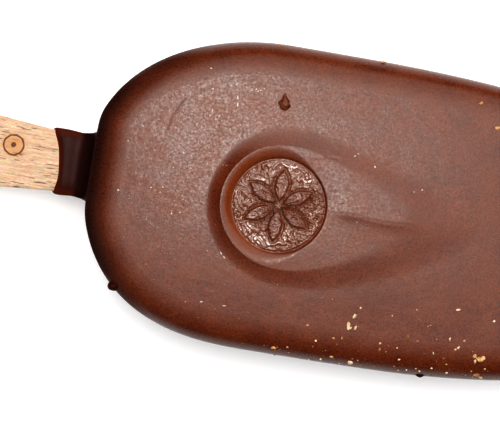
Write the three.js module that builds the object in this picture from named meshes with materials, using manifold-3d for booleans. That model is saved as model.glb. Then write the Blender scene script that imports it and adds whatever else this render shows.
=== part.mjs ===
// A chocolate coated ice cream bar on a flat wooden stick, lying on its back.
// Millimetres, +Z up. +X runs from the handle of the stick to the far end of the bar.
// The origin is the centre of the flat patch that the bar rests on.

import * as THREE from "three";
import { mergeVertices } from "three/addons/utils/BufferGeometryUtils.js";
import Module from "manifold-3d";

// The bar, seen from above: two superellipse halves that meet where it is widest.
const bar = {
  length: 95.2,
  width: 49,
  thickness: 26,
  shortHalf: 29.5, // from the stick's end to the widest place
  nearPowerPlus: 2.1, // towards the stick on the +Y side: 2 is an ellipse, more is squarer
  nearPowerMinus: 2.45, // towards the stick on the -Y side
  farPower: 3.15,
  lean: 0.067, // the stick's end is this much askew, further out on the +Y side
  flatEnd: 0.9, // and cut off flat this much short of the full length
  flatBlend: 120, // more is a sharper turn between the flat end and the curves beside it
  shoulder: 5.5, // from the outline in to where a face starts
  shoulderPower: 2.7,
  wallHalf: 7, // half the height of the straight side between the two shoulders
  crown: 0.8, // the top is this much higher in its middle
};
const middleHeight = bar.thickness / 2;
const widestX = bar.shortHalf - bar.length / 2;

// The round seal pressed into the top, and the chocolate that it pushed up.
const seal = {
  x: -16.3,
  y: -1.0,
  radius: 7.3,
  tilt: 0.15, // its ground is this much lower on the left and higher on the right
};
const lip = {
  radius: 9.0,
  radiusAside: 9.4,
  radiusAtTail: 7.7, // hardly any wall on the tail's side
  tailFrom: -0.1, // that side starts and is full where the angle's cosine is this
  tailFull: 0.75,
  heightAtStick: 0.9, // a steep crescent on the stick's side
  heightAtTail: 0.25,
  heightFall: 0.5, // under 1 lets it fall off early on the way to the tail
  steepness: 2, // of the wall's foot: 1 is an even slope
  plateauRadius: 9.1, // the slope down to the face starts here
  slope: 2.3,
  slopeAbove: 3.3, // wider on the +Y side
};
const tail = {
  length: 16.5, // how much further the plateau reaches at its tip
  heading: THREE.MathUtils.degToRad(2),
  spreadAbove: THREE.MathUtils.degToRad(24), // narrower on the +Y side
  spreadBelow: THREE.MathUtils.degToRad(31),
  spreadTurn: 0.3, // radians either side of the heading in which one spread turns into the other
  spreadTurnBack: 2.6, // and behind the seal they turn back from here
  tipRounding: THREE.MathUtils.degToRad(4),
  tipHeight: 0.3,
  ridgeHeight: 0.25,
  ridgeHalfWidth: 0.9,
  ridgeStart: 8.5,
  ridgeStartFade: 2,
  ridgeEnd: 23,
  ridgeEndFade: 6,
};
const rosette = {
  petals: 6,
  petalLength: 5.4,
  petalHalfWidth: 1.25,
  petalHeight: 0.45,
  sunk: 0.3,
  start: 0.55,
};

// The stick: a narrow shank inside the bar that widens into a round handle.
const stick = {
  y: 0.2, // it stands a little to one side of the bar's own axis
  thickness: 2,
  shankHalfWidth: 4.52,
  handleHalfWidth: 8.47,
  innerEnd: -5.8,
  handleEnd: -99.8,
  flareStart: -42,
  flareLength: 55,
  endRadius: 8.3,
  bevel: 0.25,
};
const slotGap = 0.25;

// The collar of chocolate that the coating left on the stick.
const collar = {
  mouthX: -52.45,
  mouthSlant: 0.15, // the mouth is further out on the +Y side
  mouthHollow: 1.1, // and its corners reach further out than its middle
  innerX: -44,
  halfWidth: 5.3,
  halfThickness: 1.65,
  filletWidth: 0.8,
  filletThickness: 1.8,
  filletLength: 0.45,
  sectionPower: 3.5,
  sectionPoints: 28,
  stations: 16,
  stationPower: 0.8, // under 1 puts more of the stations near the bar
};

// Bits of nut in the coating. The list holds the large ones, by eye.
const nuts = [
  { x: 18.9, y: -19.6, length: 2.2, width: 1.6, turn: 0 },
  { x: 19.5, y: -22.4, length: 1.6, width: 0.9, turn: 5 },
  { x: -2.3, y: -17.8, length: 1.6, width: 0.9, turn: 105 },
  { x: -1.7, y: -16.1, length: 1.0, width: 0.8, turn: 60 },
  { x: -1.2, y: -17.8, length: 1.1, width: 0.5, turn: 75 },
  { x: 14.1, y: -12.4, length: 0.9, width: 0.7, turn: 20 },
  { x: 15.0, y: -18.4, length: 1.3, width: 0.7, turn: 40 },
  { x: 20.0, y: -13.2, length: 0.8, width: 0.6, turn: 30 },
  { x: -13.2, y: -23.4, length: 1.0, width: 0.8, turn: 0 },
  { x: -0.9, y: -23.7, length: 1.2, width: 0.8, turn: 5 },
  { x: -3.6, y: 24.0, length: 1.0, width: 0.8, turn: 0 },
  { x: 15.6, y: 16.8, length: 1.2, width: 0.8, turn: 20 },
];
const farNuts = { count: 7, fromX: 24, toX: 42, fromY: -21, toY: 4, least: 1.1, most: 1.9, seed: 11 };

// A crumb of chocolate on the top and a bead of it on the rim.
const crumb = { x: -18.2, y: 15.2, length: 2.7, width: 1.7, height: 1.5, turn: 100 };
const bead = { x: -40.9, y: -18.3, radius: 0.85 };

// How finely the surfaces are cut into flat faces.
const around = 96;
const sideSteps = 7;
const faceSteps = 6;
const slopeSteps = 3;

const colours = { chocolate: 0x5a2c1e, wood: 0xe3bd90 };

const { lerp, smoothstep, degToRad } = THREE.MathUtils;
const wasm = await Module();
wasm.setup();

// Plan outline

function halfLengthAt(x) {
  return x < widestX ? bar.shortHalf : bar.length - bar.shortHalf;
}

function powerAt(x, y) {
  if (x > widestX) {
    return bar.farPower;
  }
  return y > 0 ? bar.nearPowerPlus : bar.nearPowerMinus;
}

// How far the askew end moves a place along X.
function leanAt(x, y) {
  const towardsStick = Math.max(0, (widestX - x) / bar.shortHalf);
  return -bar.lean * y * towardsStick ** 2;
}

// 1 on the outline, 0 in the middle of the bar.
function outlineLevel(x, y) {
  const along = Math.abs(x - leanAt(x, y) - widestX) / halfLengthAt(x);
  const across = Math.abs(y) / (bar.width / 2);
  const power = powerAt(x, y);
  const rounded = (along ** power + across ** power) ** (1 / power);
  const flat = Math.max(0, (widestX - x) / (bar.shortHalf - bar.flatEnd));
  return (rounded ** bar.flatBlend + flat ** bar.flatBlend) ** (1 / bar.flatBlend);
}

// Which way that value grows, and how fast.
function outlineSlope(x, y) {
  const step = 1e-3;
  const along = outlineLevel(x + step, y) - outlineLevel(x - step, y);
  const across = outlineLevel(x, y + step) - outlineLevel(x, y - step);
  return new THREE.Vector2(along, across).divideScalar(2 * step);
}

// How far the outline is from the widest place towards an angle, by halving.
function outlineReach(angle) {
  let near = 0;
  let far = bar.length;
  for (let step = 0; step < 40; step++) {
    const reach = (near + far) / 2;
    if (outlineLevel(widestX + reach * Math.cos(angle), reach * Math.sin(angle)) < 1) {
      near = reach;
    } else {
      far = reach;
    }
  }
  return far;
}

// Points spaced evenly along the outline, counter-clockwise.
function outlinePoints(count) {
  const fine = [];
  const fineCount = 4000;
  for (let i = 0; i < fineCount; i++) {
    const angle = (i / fineCount) * 2 * Math.PI;
    const reach = outlineReach(angle);
    fine.push(new THREE.Vector2(widestX + reach * Math.cos(angle), reach * Math.sin(angle)));
  }
  const path = new THREE.SplineCurve([...fine, fine[0]]);
  path.arcLengthDivisions = fineCount;
  return path.getSpacedPoints(count).slice(0, count);
}

// Heights

// How far the raised plateau reaches towards an angle, from 0 to 1 at the tip of its tail.
function tailReach(angle) {
  const off = Math.atan2(Math.sin(angle - tail.heading), Math.cos(angle - tail.heading));
  const rounded = Math.hypot(off, tail.tipRounding) - tail.tipRounding;
  const ahead = smoothstep(off, -tail.spreadTurn, tail.spreadTurn);
  const above = ahead * (1 - smoothstep(Math.abs(off), tail.spreadTurnBack, Math.PI));
  return Math.exp(-rounded / lerp(tail.spreadBelow, tail.spreadAbove, above));
}

function plateauRadius(angle) {
  return lip.plateauRadius + tail.length * tailReach(angle);
}

function lipRadius(angle) {
  const wide = lerp(lip.radius, lip.radiusAside, Math.sin(angle) ** 2);
  return lerp(wide, lip.radiusAtTail, smoothstep(Math.cos(angle), lip.tailFrom, lip.tailFull));
}

function lipHeight(angle) {
  return lerp(lip.heightAtStick, lip.heightAtTail, ((1 + Math.cos(angle)) / 2) ** lip.heightFall);
}

function slopeWidth(angle) {
  return lerp(lip.slope, lip.slopeAbove, Math.max(0, Math.sin(angle)) ** 2);
}

// Height of the pressed seal, its lip and the tail above the plain face. The wall is steepest at its foot.
function relief(x, y) {
  const along = x - seal.x;
  const across = y - seal.y;
  const radius = Math.hypot(along, across);
  const angle = Math.atan2(across, along);
  const ground = (seal.tilt * along) / seal.radius;
  if (radius < seal.radius) {
    return ground;
  }
  const crest = lipHeight(angle);
  const start = lipRadius(angle);
  if (radius < start) {
    const part = (radius - seal.radius) / (start - seal.radius);
    return lerp(ground, crest, 1 - (1 - part) ** lip.steepness);
  }
  const edge = plateauRadius(angle);
  const edgeHeight = lerp(crest, tail.tipHeight, tailReach(angle));
  const plateau = lerp(crest, edgeHeight, Math.min(1, (radius - start) / (edge - start)));
  const height = plateau * (1 - smoothstep(radius, edge, edge + slopeWidth(angle)));
  return height + flowRidge(radius, angle);
}

// A low ridge that runs from the seal to the tip of the tail.
function flowRidge(radius, angle) {
  const aside = (radius * Math.sin(angle - tail.heading / 2)) / tail.ridgeHalfWidth;
  const start = smoothstep(radius, tail.ridgeStart, tail.ridgeStart + tail.ridgeStartFade);
  const end = 1 - smoothstep(radius, tail.ridgeEnd - tail.ridgeEndFade, tail.ridgeEnd);
  return Math.cos(angle) > 0 ? tail.ridgeHeight * Math.exp(-aside * aside) * start * end : 0;
}

// The face's own height, without the shoulder that leads up to it.
function faceHeight(x, y) {
  return bar.thickness - bar.crown * outlineLevel(x, y) ** 2 + relief(x, y);
}

// The top at any place, over the shoulder too.
function topHeight(x, y) {
  const inset = Math.max(0, (1 - outlineLevel(x, y)) / outlineSlope(x, y).length());
  const out = Math.max(0, 1 - inset / bar.shoulder);
  const rise = (1 - out ** bar.shoulderPower) ** (1 / bar.shoulderPower);
  const wallTop = middleHeight + bar.wallHalf;
  return lerp(wallTop, faceHeight(x, y), rise);
}

// Solids

function solidFrom(geometry) {
  const bare = geometry.clone();
  bare.deleteAttribute("normal");
  bare.deleteAttribute("uv");
  const merged = mergeVertices(bare, 1e-5);
  const vertProperties = new Float32Array(merged.attributes.position.array);
  const triVerts = new Uint32Array(merged.index.array);
  return new wasm.Manifold(new wasm.Mesh({ numProp: 3, vertProperties, triVerts }));
}

function geometryFrom(solid) {
  const mesh = solid.getMesh();
  const geometry = new THREE.BufferGeometry();
  geometry.setAttribute("position", new THREE.BufferAttribute(mesh.vertProperties, 3));
  geometry.setIndex(new THREE.BufferAttribute(mesh.triVerts, 1));
  geometry.computeVertexNormals();
  return geometry;
}

// A closed skin over rings of points, from a first point to a last one.
function skin(first, rings, last) {
  const points = [first, ...rings.flat(), last];
  const count = rings[0].length;
  const faces = [];
  const at = (ring, i) => 1 + ring * count + (i % count);
  for (let i = 0; i < count; i++) {
    faces.push(0, at(0, i), at(0, i + 1));
    faces.push(points.length - 1, at(rings.length - 1, i + 1), at(rings.length - 1, i));
  }
  for (let ring = 0; ring < rings.length - 1; ring++) {
    for (let i = 0; i < count; i++) {
      faces.push(at(ring, i), at(ring + 1, i), at(ring + 1, i + 1));
      faces.push(at(ring, i), at(ring + 1, i + 1), at(ring, i + 1));
    }
  }
  const geometry = new THREE.BufferGeometry().setFromPoints(points);
  geometry.setIndex(faces);
  return solidFrom(geometry);
}

// Top face in rings around the seal, then the side with a shoulder at each edge, then the flat back.
function barBody() {
  const outline = outlinePoints(around);
  const insetPoint = (point, inset) =>
    point.clone().addScaledVector(outlineSlope(point.x, point.y).normalize(), -inset);
  const shoulderLine = outline.map((point) => insetPoint(point, bar.shoulder));
  const centre = new THREE.Vector2(seal.x, seal.y);
  const angles = shoulderLine.map((point) => point.clone().sub(centre).angle());
  const onFace = (point) => new THREE.Vector3(point.x, point.y, faceHeight(point.x, point.y));
  const circle = (radiusAt) =>
    angles.map((angle) => {
      const radius = radiusAt(angle);
      const x = seal.x + radius * Math.cos(angle);
      const y = seal.y + radius * Math.sin(angle);
      return onFace(new THREE.Vector2(x, y));
    });

  const rings = [];
  for (const part of [0.35, 0.7, 1]) {
    rings.push(circle(() => part * seal.radius));
  }
  for (const part of [0.3, 0.65, 1]) {
    rings.push(circle((angle) => lerp(seal.radius, lipRadius(angle), part)));
  }
  rings.push(circle((angle) => lerp(lipRadius(angle), plateauRadius(angle), 0.5)));
  for (let step = 0; step <= slopeSteps; step++) {
    rings.push(circle((angle) => plateauRadius(angle) + (slopeWidth(angle) * step) / slopeSteps));
  }
  for (let step = 1; step <= faceSteps; step++) {
    rings.push(
      angles.map((angle, i) => {
        const from = plateauRadius(angle) + slopeWidth(angle);
        const to = shoulderLine[i].distanceTo(centre);
        const point = centre.clone().lerp(shoulderLine[i], lerp(from, to, step / faceSteps) / to);
        return onFace(point);
      }),
    );
  }
  const sideRing = (turn, side) => {
    const out = Math.cos(turn) ** (2 / bar.shoulderPower);
    const rise = Math.sin(turn) ** (2 / bar.shoulderPower);
    return outline.map((edge) => {
      const point = insetPoint(edge, bar.shoulder * (1 - out));
      const half = side > 0 ? faceHeight(point.x, point.y) - middleHeight : middleHeight;
      return new THREE.Vector3(point.x, point.y, middleHeight + side * lerp(bar.wallHalf, half, rise));
    });
  };
  for (let step = 1; step <= sideSteps; step++) {
    rings.push(sideRing((Math.PI / 2) * (1 - step / sideSteps), 1));
  }
  for (let step = 0; step < sideSteps; step++) {
    rings.push(sideRing((Math.PI / 2) * (step / sideSteps), -1));
  }
  rings.push(shoulderLine.map((point) => new THREE.Vector3(point.x, point.y, 0)));
  return skin(onFace(centre), rings, new THREE.Vector3(0, 0, 0));
}

// A tube of chocolate round the stick that widens into the end of the bar.
function collarBody() {
  const rings = [];
  const mouthAt = (across) => {
    const corner = Math.abs(across / collar.halfWidth) ** 3;
    return collar.mouthX - collar.mouthSlant * across - collar.mouthHollow * corner;
  };
  for (let station = 0; station <= collar.stations; station++) {
    const along = (station / collar.stations) ** collar.stationPower;
    const ring = [];
    for (let i = 0; i < collar.sectionPoints; i++) {
      const angle = (i / collar.sectionPoints) * 2 * Math.PI;
      const across = -roundedCosine(angle, collar.sectionPower);
      const up = roundedCosine(angle - Math.PI / 2, collar.sectionPower);
      const x = lerp(mouthAt(collar.halfWidth * across), collar.innerX, along);
      const outside = Math.max(0, bar.flatEnd - bar.length / 2 - x);
      const flare = Math.exp(-outside / collar.filletLength);
      const y = stick.y + (collar.halfWidth + collar.filletWidth * flare) * across;
      const z = middleHeight + (collar.halfThickness + collar.filletThickness * flare) * up;
      ring.push(new THREE.Vector3(x, y, z));
    }
    rings.push(ring);
  }
  const first = new THREE.Vector3(mouthAt(0), stick.y, middleHeight);
  const last = new THREE.Vector3(collar.innerX, stick.y, middleHeight);
  return skin(first, rings, last);
}

// One coordinate of a superellipse with half sizes of 1.
function roundedCosine(angle, power) {
  return Math.sign(Math.cos(angle)) * Math.abs(Math.cos(angle)) ** (2 / power);
}

// A many-sided lump, sunk into the surface at x, y.
function lump({ x, y, z = topHeight(x, y), length, width, height, turn = 0, detail = 0, taper = 0 }) {
  const geometry = new THREE.IcosahedronGeometry(0.5, detail);
  const position = geometry.attributes.position;
  for (let i = 0; i < position.count; i++) {
    const thin = 1 - taper * (position.getX(i) + 0.5);
    position.setXYZ(i, position.getX(i), position.getY(i) * thin, position.getZ(i) * thin);
  }
  geometry.scale(length, width, height);
  geometry.rotateZ(degToRad(turn));
  geometry.translate(x, y, z);
  return solidFrom(geometry);
}

function nutLump(nut) {
  return lump({ ...nut, height: nut.width });
}

// Nuts past the listed ones, most of them near the -Y side.
function scatteredNuts() {
  const random = THREE.MathUtils.seededRandom;
  random(farNuts.seed);
  const found = [];
  for (let i = 0; i < farNuts.count; i++) {
    const x = lerp(farNuts.fromX, farNuts.toX, (i + random()) / farNuts.count);
    const y = lerp(farNuts.fromY, farNuts.toY, random() ** 2);
    const length = lerp(farNuts.least, farNuts.most, random());
    found.push({ x, y, length, width: 0.7 * length, turn: 180 * random() });
  }
  return found.filter((nut) => outlineLevel(nut.x, nut.y) < 0.97);
}

// Raised petals in the round seal, each a lens between two arcs.
function rosettePetals() {
  const { start, petalLength, petalHalfWidth, petalHeight, sunk } = rosette;
  const shape = new THREE.Shape();
  const end = start + petalLength;
  shape.moveTo(start, 0);
  shape.quadraticCurveTo((start + end) / 2, -2 * petalHalfWidth, end, 0);
  shape.quadraticCurveTo((start + end) / 2, 2 * petalHalfWidth, start, 0);
  const slope = 0.5 * petalHalfWidth;
  const petal = new THREE.ExtrudeGeometry(shape, {
    depth: sunk,
    curveSegments: 6,
    bevelThickness: petalHeight,
    bevelSize: slope,
    bevelOffset: -slope,
    bevelSegments: 1,
  });
  const ground = faceHeight(seal.x, seal.y);
  const petals = [];
  for (let i = 0; i < rosette.petals; i++) {
    const turned = petal.clone();
    turned.rotateZ(((i + 0.5) / rosette.petals) * 2 * Math.PI);
    turned.rotateY(-Math.atan(seal.tilt / seal.radius));
    turned.translate(seal.x, seal.y, ground - sunk);
    petals.push(solidFrom(turned));
  }
  return petals;
}

// The stick from above, every side moved out by grow.
function stickShape(grow) {
  const steps = 24;
  const roundStart = stick.handleEnd + stick.endRadius;
  const halfWidthAt = (x) => {
    const flare = smoothstep((stick.flareStart - x) / stick.flareLength, 0, 1);
    return lerp(stick.shankHalfWidth, stick.handleHalfWidth, flare) + grow;
  };
  const upper = [];
  const innerRadius = stick.shankHalfWidth + grow;
  const innerCentre = stick.innerEnd - stick.shankHalfWidth;
  for (let i = 0; i <= steps / 3; i++) {
    const angle = (i / (steps / 3)) * (Math.PI / 2);
    upper.push([innerCentre + innerRadius * Math.cos(angle), innerRadius * Math.sin(angle)]);
  }
  for (let i = 0; i <= steps; i++) {
    const x = lerp(stick.flareStart, roundStart, i / steps);
    upper.push([x, halfWidthAt(x)]);
  }
  const endHalfWidth = halfWidthAt(roundStart);
  for (let i = 1; i <= steps / 2; i++) {
    const angle = (i / (steps / 2)) * (Math.PI / 2);
    upper.push([
      roundStart - (stick.endRadius + grow) * Math.sin(angle),
      endHalfWidth * Math.cos(angle),
    ]);
  }
  const lower = upper.slice(1, -1).map(([x, y]) => [x, -y]).reverse();
  return new THREE.Shape([...upper, ...lower].map(([x, y]) => new THREE.Vector2(x, y)));
}

function stickGeometry() {
  const geometry = new THREE.ExtrudeGeometry(stickShape(0), {
    depth: stick.thickness - 2 * stick.bevel,
    bevelThickness: stick.bevel,
    bevelSize: stick.bevel,
    bevelOffset: -stick.bevel,
    bevelSegments: 2,
  });
  geometry.translate(0, stick.y, middleHeight - stick.thickness / 2 + stick.bevel);
  return geometry;
}

function slotSolid() {
  const depth = stick.thickness + 2 * slotGap;
  const geometry = new THREE.ExtrudeGeometry(stickShape(slotGap), { depth, bevelEnabled: false });
  geometry.translate(0, stick.y, middleHeight - depth / 2);
  return solidFrom(geometry);
}

function barGeometry() {
  const fused = [
    collarBody(),
    ...rosettePetals(),
    ...[...nuts, ...scatteredNuts()].map(nutLump),
    lump({ ...crumb, detail: 1, taper: 0.5 }),
    lump({
      x: bead.x,
      y: bead.y,
      z: middleHeight,
      length: 2 * bead.radius,
      width: 2 * bead.radius,
      height: 2 * bead.radius,
      detail: 1,
    }),
  ];
  const whole = fused.reduce((joined, piece) => joined.add(piece), barBody());
  return geometryFrom(whole.subtract(slotSolid()));
}

const chocolate = new THREE.MeshStandardMaterial({ color: colours.chocolate, roughness: 0.4, metalness: 0 });
const wood = new THREE.MeshStandardMaterial({ color: colours.wood, roughness: 0.7, metalness: 0 });

const coatedBar = new THREE.Mesh(barGeometry(), chocolate);
coatedBar.name = "coated_bar";

const woodenStick = new THREE.Mesh(stickGeometry(), wood);
woodenStick.name = "stick";

const iceCreamBar = new THREE.Group();
iceCreamBar.add(coatedBar, woodenStick);
export default iceCreamBar;
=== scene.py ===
import math

import bmesh
import bpy
import numpy as np
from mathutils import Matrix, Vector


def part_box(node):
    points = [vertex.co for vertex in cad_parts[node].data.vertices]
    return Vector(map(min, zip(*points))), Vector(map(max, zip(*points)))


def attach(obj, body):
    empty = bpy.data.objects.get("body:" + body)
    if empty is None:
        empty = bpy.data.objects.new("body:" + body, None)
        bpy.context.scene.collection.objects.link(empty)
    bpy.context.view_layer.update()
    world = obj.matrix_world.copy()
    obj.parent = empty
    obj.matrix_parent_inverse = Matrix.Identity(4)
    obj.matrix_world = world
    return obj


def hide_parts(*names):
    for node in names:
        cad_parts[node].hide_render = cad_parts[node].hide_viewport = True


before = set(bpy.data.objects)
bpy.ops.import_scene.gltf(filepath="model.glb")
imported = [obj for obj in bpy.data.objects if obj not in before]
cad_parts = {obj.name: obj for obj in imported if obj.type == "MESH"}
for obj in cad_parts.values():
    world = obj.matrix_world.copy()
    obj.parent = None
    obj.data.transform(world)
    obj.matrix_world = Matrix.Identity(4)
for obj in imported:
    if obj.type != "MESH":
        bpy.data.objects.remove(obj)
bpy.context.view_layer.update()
print("frame loaded")

# Lengths below are in millimetres and are made metres where a mesh is written.
millimetre = 0.001

# The coated bar seen from above: two superellipse halves that meet where it is widest.
coating = {
    "length": 95.2,
    "width": 49.0,
    "thickness": 26.0,
    "shortHalf": 29.5,        # from the stick's end to the widest place
    "nearPowerPlus": 2.1,     # +Y side: 2 is an ellipse, more is squarer
    "nearPowerMinus": 2.45,   # -Y side
    "farPower": 3.15,
    "lean": 0.067,            # the stick's end is askew, further out on the +Y side
    "flatEnd": 0.9,           # and cut off flat this much short
    "flatBlend": 120.0,
    "shoulder": 5.5,          # from the outline in to where a face starts
    "shoulderPower": 2.7,
    "wallHalf": 7.0,          # half the height of the straight side between the shoulders
    "wallShare": 0.3,         # and its share of the rings down the side
    "crown": 0.8,
    "around": 400,
    "ringCounts": (52, 18, 18, 18, 66),    # ground, wall, plateau, slope, rest of the face
    "sideSteps": 44,
    "backShares": (1, 0.8, 0.55, 0.3),     # how far out the rings of the back lie
    "swell": 0.12,            # how far the sides wander in
    "swellSize": 9.0,
    "ripple": 0.07,           # slow ups and downs of the face
    "rippleSize": 11.0,
    "grain": 0.012,
    "grainSize": 0.9,
}
middle = coating["thickness"] / 2
widestX = coating["shortHalf"] - coating["length"] / 2

# The round seal pressed into the top, with the lip and the tail it pushed up.
seal = {
    "x": -16.3,
    "y": -1.0,
    "radius": 7.3,
    "tilt": 0.15,             # lower on the stick's side, higher on the other
    "crinkle": 0.42,
    "crinkleSize": 0.5,
    "crinklesAround": 64,     # a multiple of the noise's 32 cells, so that it closes
    "fineCrinkleSize": 0.27,
    "fineCrinklesAround": 128,
    "bend": 1.4,              # how far the crinkles stray from rings, and in what patches
    "bendSize": 1.1,
    "swing": 0.5,
    "swingSize": 1.4,
    "calmSize": 1.9,          # patches of weaker and stronger crinkles
    "calmLeast": 0.35,
    "calmRange": 1.3,
    "grooveDepth": 0.22,
    "grooveWidth": 0.2,
    "lipRadius": 9.0,
    "lipRadiusAside": 9.4,
    "lipRadiusAtTail": 7.7,   # hardly any wall on the tail's side
    "lipTailFrom": -0.1,      # that side starts and is full where the angle's cosine is this
    "lipTailFull": 0.75,
    "lipAtStick": 0.86,
    "lipAtTail": 0.25,
    "lipFall": 0.5,           # under 1 lets the lip fall off early on the way to the tail
    "wallSteepness": 2.0,     # of the wall's foot: 1 is an even slope
    "plateauRadius": 9.1,
    "slope": 2.3,
    "slopeAbove": 3.3,        # wider on the +Y side
    "slopeAtTip": 7.0,        # the foot of the slope is this wide at the tip of the tail
    "tailLength": 16.5,
    "tailHeading": math.radians(2),
    "spreadAbove": math.radians(24),
    "spreadBelow": math.radians(31),
    "spreadTurn": 0.3,        # radians either side of the heading where one turns into the other
    "spreadTurnBack": 2.6,    # and they turn back from here, behind the seal
    "tipRounding": math.radians(4),
    "tipHeight": 0.3,
}

# Petals that stand up from the ground of the seal, with a narrow groove round each
rosette = {
    "petals": 6,
    "start": 0.55,
    "length": 5.4,
    "halfWidth": 1.25,
    "height": 0.3,
    "sideWidth": 0.45,
    "edgeDepth": 0.3,
    "edgeWidth": 0.16,
}

# Thin lines where the coating ran together: depth, half width, step, fall and points. Each
# line stands up by its step, which falls off over that length, more slowly on the +Y side.
creases = [
    (0.06, 0.18, 0.0, 1.0,
     [(-35.7, 7.2), (-35.5, 8.5), (-35.2, 10.0), (-34.6, 11.5), (-33.9, 12.8), (-32.9, 13.9)]),
    (0.015, 0.3, 0.02, 1.2, [(-33.5, 13.3), (-30.5, 15.6), (-26.4, 17.8), (-21.9, 19.7)]),
    (0.04, 0.2, 0.2, 1.2,
     [(-8.6, -1.1), (-5.9, -0.4), (-3.4, -0.5), (-1.3, -0.8), (1.3, -0.8), (4.6, -0.6), (8.0, -0.3)]),
    (0.05, 0.2, 0.0, 1.0, [(-10.6, 7.6), (-9.2, 7.8), (-8.0, 7.8)]),
    (0.03, 0.15, 0.0, 1.0, [(-9.0, 2.6), (-8.2, 2.5), (-7.3, 2.6)]),
    (0.035, 0.15, 0.0, 1.0, [(-7.0, 0.8), (-6.0, 0.9), (-4.7, 0.6)]),
    (0.03, 0.4, 0.04, 1.5, [(-41.0, -1.5), (-38.0, -1.2), (-35.0, -2.2), (-32.0, -3.0), (-29.5, -4.2)]),
]


# Smooth random values from 0 to 1: random numbers on a cubic lattice, blended between
# the eight nearest with an S-shaped weight on each axis.
def softNoise(points, size, seed):
    cells = 32
    table = np.random.default_rng(seed).random((cells, cells, cells))
    place = np.asarray(points) / size
    corner = np.floor(place).astype(int)
    weight = place - corner
    weight = weight * weight * (3 - 2 * weight)
    total = np.zeros(place.shape[:-1])
    for bits in range(8):
        step = np.array([bits & 1, bits >> 1 & 1, bits >> 2 & 1])
        share = np.where(step == 1, weight, 1 - weight).prod(axis=-1)
        at = (corner + step) % cells
        total += share * table[at[..., 0], at[..., 1], at[..., 2]]
    return total


# 0 up to low and 1 from high on, with the S-curve 3 t^2 - 2 t^3 between them.
def smoothStep(value, low, high):
    part = np.clip((value - low) / (high - low), 0, 1)
    return part * part * (3 - 2 * part)


# Points or rows from their columns, each an array or one number.
def together(*parts):
    return np.stack(np.broadcast_arrays(*parts), axis=-1)


def unitVectors(vectors):
    return vectors / np.linalg.norm(vectors, axis=-1, keepdims=True)


# A wave from -1 to 1, squarer the further the power is under 1.
def squarer(wave, power):
    return np.sign(wave) * np.abs(wave) ** power


# The half length and the power of whichever half of the outline a place is in
def halfLengthAt(x):
    return np.where(x < widestX, coating["shortHalf"], coating["length"] - coating["shortHalf"])


def powerAt(x, y):
    near = np.where(y > 0, coating["nearPowerPlus"], coating["nearPowerMinus"])
    return np.where(x < widestX, near, coating["farPower"])


# How far the askew end moves a place along X
def leanAt(x, y):
    return -coating["lean"] * y * np.clip((widestX - x) / coating["shortHalf"], 0, None) ** 2


# 1 on the outline and 0 in the middle: the superellipse sum, to the power one over n,
# blended with the flat cut at the stick's end.
def outlineLevel(x, y):
    power = powerAt(x, y)
    along = np.abs(x - leanAt(x, y) - widestX) / halfLengthAt(x)
    across = np.abs(y) / (coating["width"] / 2)
    rounded = (along ** power + across ** power) ** (1 / power)
    flat = np.clip((widestX - x) / (coating["shortHalf"] - coating["flatEnd"]), 0, None)
    blend = coating["flatBlend"]
    return (rounded ** blend + flat ** blend) ** (1 / blend)


# The way that level grows, as a unit vector, and how fast it grows there.
def outlineSlope(x, y):
    step = 1e-3
    along = (outlineLevel(x + step, y) - outlineLevel(x - step, y)) / (2 * step)
    across = (outlineLevel(x, y + step) - outlineLevel(x, y - step)) / (2 * step)
    size = np.maximum(np.hypot(along, across), 1e-9)
    return along / size, across / size, size


# How far inside the outline a place lies: what its level lacks of 1, over how fast that grows.
def insetAt(x, y):
    return np.maximum(0, (1 - outlineLevel(x, y)) / outlineSlope(x, y)[2])


# Evenly spaced points round the outline. The outline is found along fine polar steps by
# halving, then cut into equal shares of its length.
def evenOutline(count):
    fineSteps, halvings = 6000, 40
    angle = np.linspace(0, 2 * np.pi, fineSteps + 1)
    near = np.zeros_like(angle)
    far = np.full_like(angle, coating["length"])
    for _ in range(halvings):
        reach = (near + far) / 2
        inside = outlineLevel(widestX + reach * np.cos(angle), reach * np.sin(angle)) < 1
        near = np.where(inside, reach, near)
        far = np.where(inside, far, reach)
    x = widestX + far * np.cos(angle)
    y = far * np.sin(angle)
    travelled = np.concatenate([[0], np.cumsum(np.hypot(np.diff(x), np.diff(y)))])
    wanted = np.arange(count) / count * travelled[-1]
    return np.interp(wanted, travelled, x), np.interp(wanted, travelled, y)


# Distance and angle of places from the middle of the seal.
def aroundSeal(x, y):
    along = x - seal["x"]
    across = y - seal["y"]
    return np.hypot(along, across), np.arctan2(across, along)


# From 0 round most of the seal to 1 at the tip of its tail, falling off with the angle.
def tailReach(angle):
    off = (angle - seal["tailHeading"] + np.pi) % (2 * np.pi) - np.pi
    rounded = np.hypot(off, seal["tipRounding"]) - seal["tipRounding"]
    above = smoothStep(off, -seal["spreadTurn"], seal["spreadTurn"])
    above = above * (1 - smoothStep(np.abs(off), seal["spreadTurnBack"], np.pi))
    spread = seal["spreadBelow"] + (seal["spreadAbove"] - seal["spreadBelow"]) * above
    return np.exp(-rounded / spread)


def plateauEdge(angle):
    return seal["plateauRadius"] + seal["tailLength"] * tailReach(angle)


# The radius of the lip's crest: wider across the bar, and close to the seal at the tail.
def lipRadius(angle):
    wide = seal["lipRadius"] + (seal["lipRadiusAside"] - seal["lipRadius"]) * np.sin(angle) ** 2
    atTail = smoothStep(np.cos(angle), seal["lipTailFrom"], seal["lipTailFull"])
    return wide + (seal["lipRadiusAtTail"] - wide) * atTail


# The slope past the plateau is wider on the +Y side and widest at the tip of the tail.
def slopeWidth(angle):
    above = np.maximum(0, np.sin(angle)) ** 2
    width = seal["slope"] + (seal["slopeAbove"] - seal["slope"]) * above
    return width + (seal["slopeAtTip"] - width) * tailReach(angle) ** 1.5


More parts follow.
